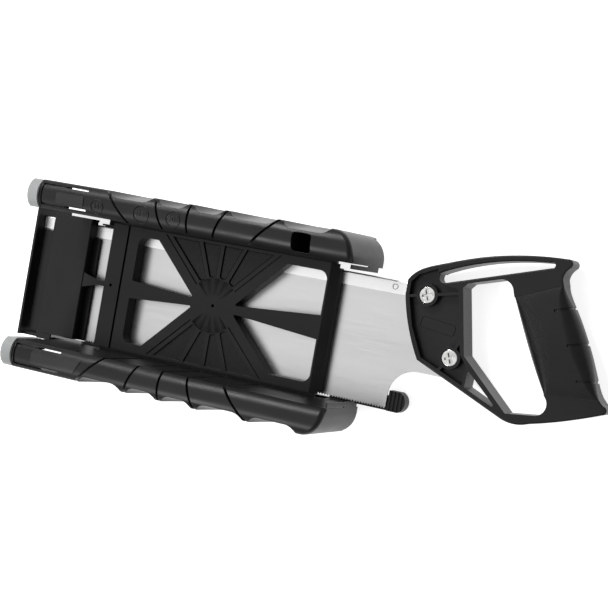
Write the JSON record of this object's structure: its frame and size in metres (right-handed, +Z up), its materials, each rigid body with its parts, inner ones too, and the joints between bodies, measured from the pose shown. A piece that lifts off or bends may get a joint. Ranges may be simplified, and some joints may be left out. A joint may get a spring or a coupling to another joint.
{
  "type": "mitre box saw",
  "caption": "Mitre box with a slotted U-shaped channel for cutting timber at set angles, and a back saw stored flat under its floor.",
  "frame": {"origin": "on the table under the point where the saw slots cross", "axes": "+X runs along the box towards the saw handle, +Y towards the rail with the angle labels, +Z up from the table"},
  "size_m": [0.5122, 0.162, 0.0957],
  "materials": {
    "box_plastic": "satin charcoal moulding",
    "cap_plastic": "light grey moulding",
    "guide_plastic": "plain moulding",
    "screw_steel": "zinc plated",
    "blade_steel": "bright brushed",
    "spine_steel": "bright satin",
    "handle_plastic": "satin black moulding",
    "bright_nickel": "bright nickel",
    "latch_plastic": "satin black moulding"
  },
  "bodies": {
    "box": {"tray": "box_plastic", "cutting_floor": "box_plastic", "back_wall": "box_plastic", "front_wall": "box_plastic", "back_rail_cap": "cap_plastic", "front_rail_cap": "cap_plastic", "nose_cover": "box_plastic", "spine_guide": "guide_plastic", "tooth_guide": "guide_plastic", "base_screws": "screw_steel", "guide_screws": "screw_steel"},
    "saw": {"saw_blade": "blade_steel", "blade_spine": "spine_steel", "spine_rivets": "spine_steel", "handle": "handle_plastic", "handle_screws": "bright_nickel", "sleeve_nuts": "bright_nickel"},
    "latch": {"latch": "latch_plastic"}
  },
  "joints": [
    {"name": "saw_slide", "type": "slide", "parent": "box", "child": "saw", "axis": [1, 0, 0], "range_m": [0, 0.38]},
    {"name": "latch_flex", "type": "hinge", "parent": "box", "child": "latch", "pos_m": [0.099, 0, 0.0084], "axis": [0, 1, 0], "range_deg": [-2, 2.5], "stiffness_Nm_per_rad": 1.5}
  ]
}
